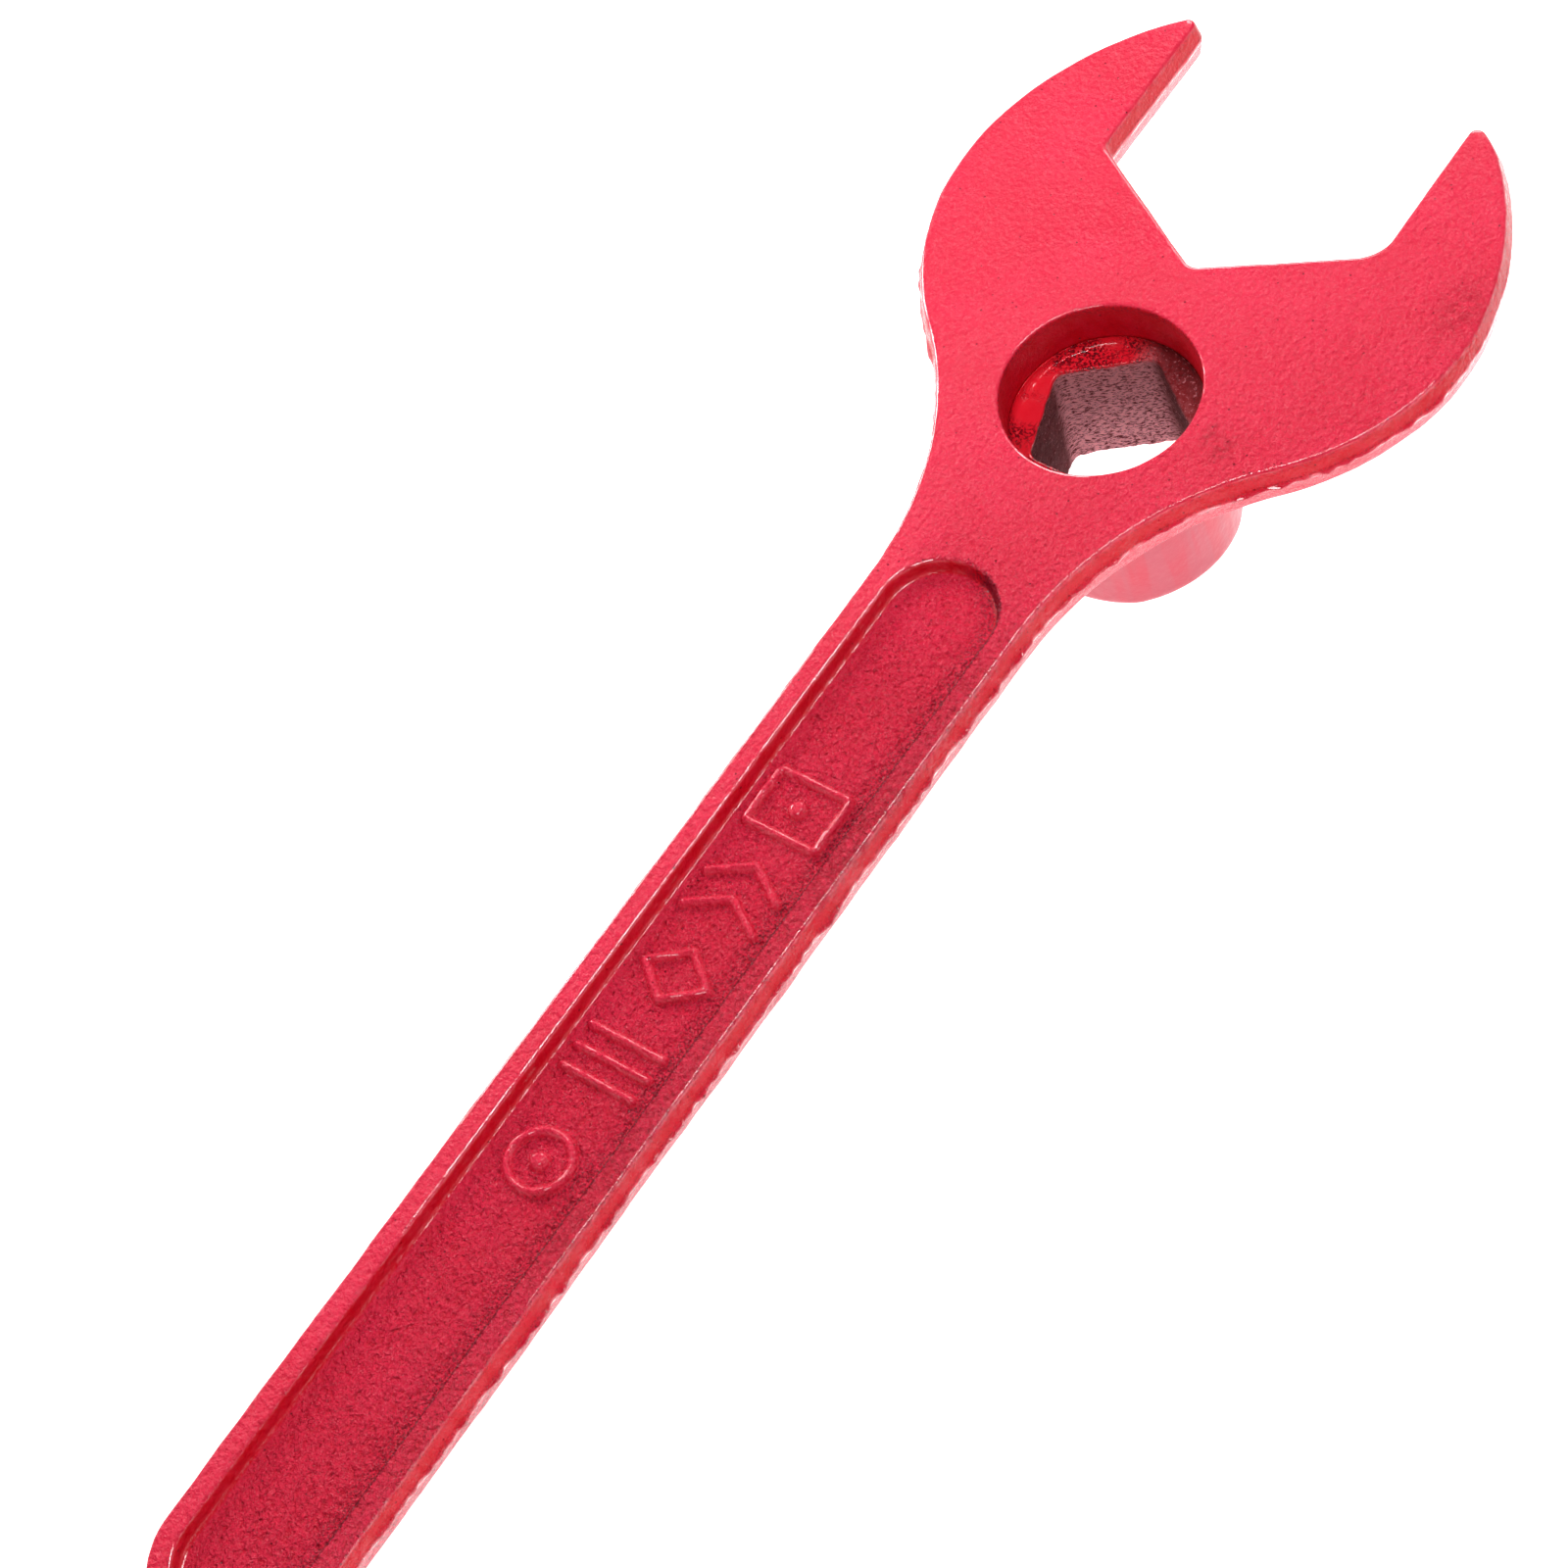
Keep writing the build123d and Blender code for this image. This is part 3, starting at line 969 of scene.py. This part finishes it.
def make_body():
    """The casting, with its relief, its crowned face and the masks for its paint."""
    skin = body_skin()
    mesh = skin.mesh("wrench_body_cast")
    points = read_points(mesh)
    rough = np.array(skin.weights)
    x, y, z = points.T
    relief = casting_relief(points, rough)
    side = front_side(points, rough)
    # The front half of the outer edge is darkened a little all over and more along two lines:
    # painted shade.
    lines = sum(1 - smooth(np.abs(-z - depth), 0.0002, 0.0006) for depth in SHADE_LINE_DEPTHS)
    paint(mesh, "grime_and_shade", dirt_and_shadow_line(points) + (0.08 + 0.45 * lines) * side)
    paint(mesh, "smudge", smudges(points))
    deep = deep_red_shade(points, rough)
    paint(mesh, "gloss", glossy_edges(points, deep))
    paint(mesh, "coarse", coarseness(points) * (1 - 0.5 * deep))
    paint(mesh, "deep", deep)
    paint(mesh, "matt", (np.hypot(x, y) < EYE_R + 0.0009) * smooth(-z, 0.00002, 0.0002))
    displace(mesh, relief)
    points = read_points(mesh)
    crown(points)
    write_points(mesh, points)
    add_piece("wrench_body_cast", mesh, enamel("body_enamel"), "body_paint", "wrench_body")


def make_marks():
    """The raised figures, on the same waves and crown as the body."""
    mesh = marks_skin().mesh("raised_marks_cast")
    points = read_points(mesh)
    relief = casting_relief(points, np.zeros(len(points)))
    x, y = points[:, 0], points[:, 1]
    paint(mesh, "grime_and_shade", 0.5 * smooth(mark_distance(x, y), 0.0007, 0.0013))
    paint(mesh, "smudge", smudges(points))
    paint(mesh, "coarse", 0.55 * coarseness(points))
    # The marks' flanks and feet take the deep red: painted shade.
    paint(mesh, "deep", 0.5 * smooth(mark_distance(x, y), 0.0005, 0.0011))
    paint(mesh, "gloss", np.full(len(points), 0.1))
    points[:, 2] += relief
    crown(points)
    write_points(mesh, points)
    add_piece("raised_marks_cast", mesh, enamel("mark_enamel"), "mark_paint", "raised_marks")


def make_sleeve():
    """The sleeve: enamel outside and on its ledge, painted shade on the ledge's right side, and a
    pebbled bore of bare iron with overspray, palest on the wall that faces the camera as painted
    light.
    """
    skin = sleeve_skin()
    mesh = skin.mesh("socket_sleeve_cast")
    points = read_points(mesh)
    bore = np.array(skin.weights)
    x, y, z = points.T
    bare_and_shade = bore * smooth(-z, -LEDGE_Z + 0.0003, -LEDGE_Z + 0.0014)
    seat = (1 - bare_and_shade) * smooth(z, LEDGE_Z - 0.0012, LEDGE_Z - 0.0006)
    seat *= np.hypot(x, y) < SLEEVE_R - 0.0015
    pebbled = (bare_and_shade + 0.25 * seat) * layered_noise(points, BORE_PEBBLES)
    displace(mesh, layered_noise(points, SLEEVE_WAVES) + pebbled)
    # The ledge's right side is painted in the dark iron colour: painted shade.
    shaded = smooth(0.57 * x - 0.82 * y, 0.004, 0.013)
    paint(mesh, "bare_and_shade", np.maximum(bare_and_shade, 0.85 * seat * shaded))
    paint(mesh, "deep", seat)
    paint(mesh, "spray_and_light", spray_and_light_on_bore(points) * bore)
    add_piece("socket_sleeve_cast", mesh, sleeve_paint(), "sleeve_paint", "socket_sleeve")


def make_bead():
    """The bead, lumpy along its run."""
    mesh = bead_skin().mesh("socket_weld_cast")
    displace(mesh, layered_noise(read_points(mesh), BEAD_WAVES))
    material = enamel("bead_enamel", masked=False)
    add_piece("socket_weld_cast", mesh, material, "bead_paint", "socket_weld")


# ---------------------------------------------------------------- stage

CAMERA_AT = (-0.4246, -0.4322, 0.7886)
CAMERA_RIGHT = (0.56091, -0.79893, -0.21702)
CAMERA_UP = (0.75860, 0.39102, 0.52119)
CAMERA_BACK = (-0.33153, -0.45697, 0.82539)
LENS = 112.1
SENSOR_WIDTH = 36
FAR_CLIP = 50
FLOOR_SIZE = 12
FLOOR_CUTS = 40

# Brightness of the world against height
WORLD_FADE = {"From Min": 0.18, "From Max": 0.40, "To Min": 1.0, "To Max": 0.05}

# The wrench rests on the sleeve's rim and the handle's end
REST_RIM = (-0.0216, SLEEVE_END_Z - 0.0002)
REST_END = (-0.3090, -PLATE_T + 0.0004)


def add_floor():
    """A wide pale sheet under the two places where the wrench rests."""
    slope = atan2(REST_END[1] - REST_RIM[1], REST_RIM[0] - REST_END[0])
    cuts = FLOOR_CUTS
    bpy.ops.mesh.primitive_grid_add(x_subdivisions=cuts, y_subdivisions=cuts, size=FLOOR_SIZE)
    floor = bpy.context.object
    floor.name = "floor"
    shift = Matrix.Translation((REST_RIM[0], 0, REST_RIM[1]))
    floor.matrix_world = shift @ Matrix.Rotation(slope, 4, "Y")
    floor.data.materials.append(floor_paint())


# Name, direction, distance, width, height, watts and the point that the box looks at
LIGHTS = (
    ("front_box", (0.74, 0.41, 0.53), 1.3, 0.4, 0.5, 8.0, (0, 0, 0)),
    ("key_box", (0.10, 0.90, 0.44), 0.7, 0.2, 0.2, 3.1, (0, 0, 0)),
    ("fill_box", (-0.45, -0.35, 0.82), 0.9, 0.3, 0.3, 3.1, (-0.09, 0, 0)),
    ("rim_strip", (0.30, -0.10, 0.95), 0.9, 0.05, 0.4, 3.8, (-0.10, 0, 0)),
    ("side_strip", (0.0, -0.85, 0.53), 0.95, 0.6, 0.03, 0.7, (0.12, 0, 0)),
)


def add_light(name, direction, distance, width, height, watts, aim):
    """A soft box that looks at a point from a direction."""
    lamp = bpy.data.lights.new(name, "AREA")
    lamp.shape = "RECTANGLE"
    lamp.size = width
    lamp.size_y = height
    lamp.energy = watts
    box = bpy.data.objects.new(name, lamp)
    bpy.context.scene.collection.objects.link(box)
    away = Vector(direction).normalized()
    box.location = Vector(aim) + away * distance
    box.rotation_euler = away.to_track_quat("Z", "Y").to_euler()


def add_camera():
    """The photograph's camera, from the fit to the wrench's outline."""
    data = bpy.data.cameras.new("camera")
    data.lens = LENS
    data.sensor_width = SENSOR_WIDTH
    data.clip_end = FAR_CLIP
    camera = bpy.data.objects.new("camera", data)
    bpy.context.scene.collection.objects.link(camera)
    turn = Matrix((CAMERA_RIGHT, CAMERA_UP, CAMERA_BACK)).transposed()
    camera.matrix_world = Matrix.Translation(CAMERA_AT) @ turn.to_4x4()
    bpy.context.scene.camera = camera


def add_world():
    """A studio that is pale round its foot and dark above."""
    world = bpy.data.worlds.new("studio")
    bpy.context.scene.world = world
    world.use_nodes = True
    background = world.node_tree.nodes["Background"]
    background.inputs["Strength"].default_value = 1.0
    tree = world.node_tree
    place = tree.nodes.new("ShaderNodeTexCoord")
    split = tree.nodes.new("ShaderNodeSeparateXYZ")
    fade = tree.nodes.new("ShaderNodeMapRange")
    fade.interpolation_type = "SMOOTHSTEP"
    for socket, value in WORLD_FADE.items():
        fade.inputs[socket].default_value = value
    tree.links.new(place.outputs["Generated"], split.inputs["Vector"])
    tree.links.new(split.outputs["Z"], fade.inputs["Value"])
    tree.links.new(fade.outputs["Result"], background.inputs["Color"])
    bpy.context.scene.view_settings.view_transform = "Standard"


make_body()
make_marks()
make_sleeve()
make_bead()
add_floor()
add_world()
for light in LIGHTS:
    add_light(*light)
add_camera()
